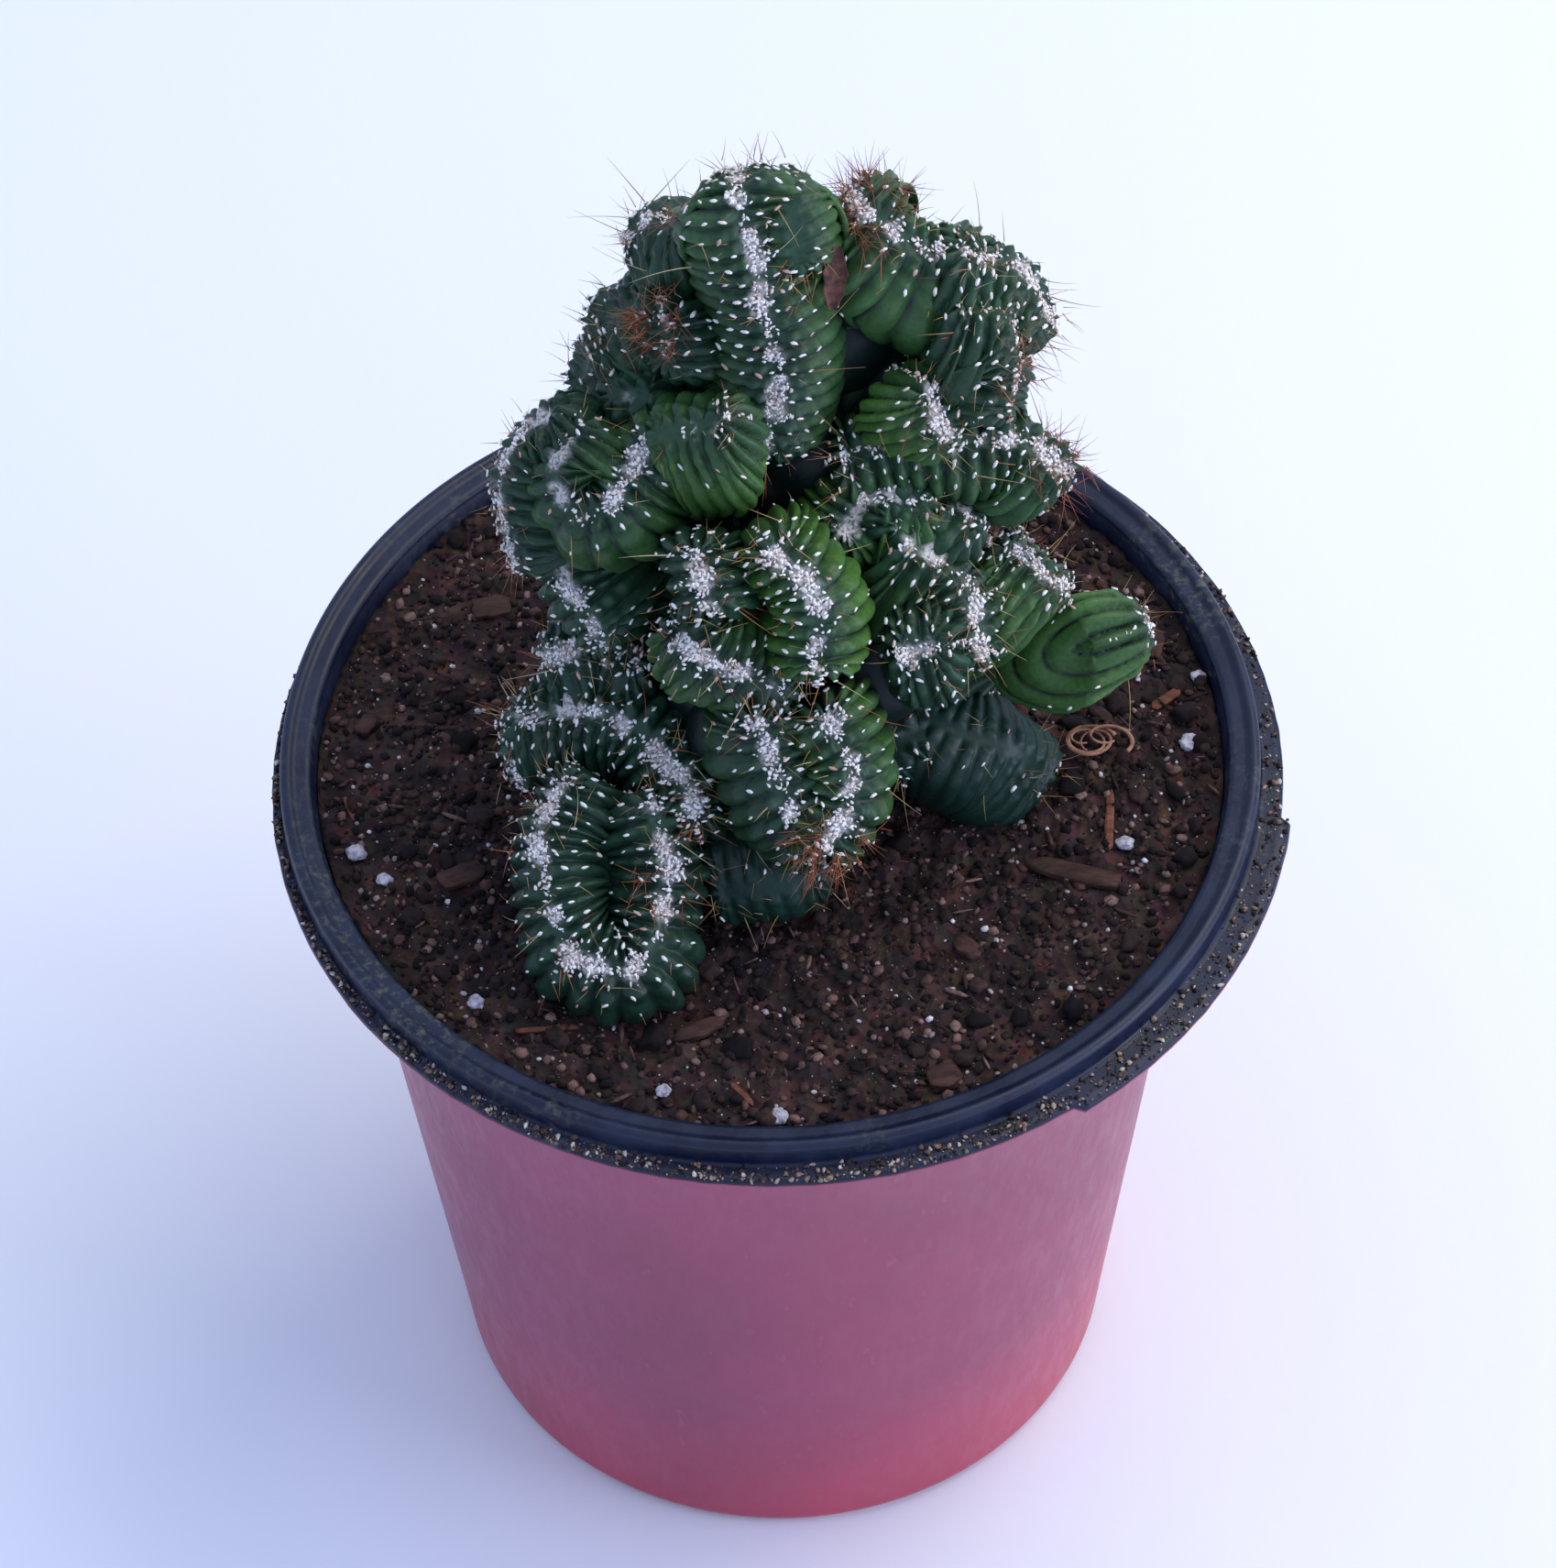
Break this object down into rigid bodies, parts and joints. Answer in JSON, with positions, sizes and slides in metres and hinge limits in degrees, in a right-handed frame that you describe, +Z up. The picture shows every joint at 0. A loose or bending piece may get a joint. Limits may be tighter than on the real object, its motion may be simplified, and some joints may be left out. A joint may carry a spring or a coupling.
{
  "type": "potted crested cactus",
  "caption": "Crested, folded column cactus standing in a tapered round nursery pot with a flat flange, filled with bark and perlite potting mix.",
  "frame": {"origin": "centre of the circle that the pot stands on, at floor level", "axes": "+Z up along the pot's axis; -Y towards the side that the low looped fold faces; +X to the right of it"},
  "size_m": [0.1447, 0.1444, 0.2283],
  "materials": {
    "pot_sheet": "terracotta-red thermoformed sheet outside, black inside and over the flange, satin",
    "potting_mix": "loose dark peat and bark crumbs, dull",
    "cactus_skin": "waxy dark green skin, satin",
    "pine_bark": "rough dry bark",
    "splinter_wood": "raw torn wood",
    "perlite": "dull white mineral grain",
    "dried_fibre": "dry root fibre"
  },
  "bodies": {
    "root": {"pot": "pot_sheet", "potting_mix": "potting_mix", "cactus": "cactus_skin", "bark_chip_left": "pine_bark", "bark_chip_far_left": "pine_bark", "bark_chip_front": "pine_bark", "bark_chip_right": "pine_bark", "bark_chip_right_back": "pine_bark", "bark_chip_front_right": "pine_bark", "bark_chip_back": "pine_bark", "bark_chip_mid_right": "pine_bark", "bark_chip_back_left": "pine_bark", "wood_splinter_front": "splinter_wood", "wood_splinter_front_right": "splinter_wood", "wood_splinter_right": "splinter_wood", "wood_splinter_far_right": "splinter_wood", "wood_splinter_left": "splinter_wood", "perlite_grain_left": "perlite", "perlite_grain_left_low": "perlite", "perlite_grain_front_left": "perlite", "perlite_grain_front": "perlite", "perlite_grain_front_low": "perlite", "perlite_grain_right": "perlite", "perlite_grain_right_back": "perlite", "perlite_grain_right_front": "perlite", "dried_fibre": "dried_fibre"}
  },
  "joints": []
}
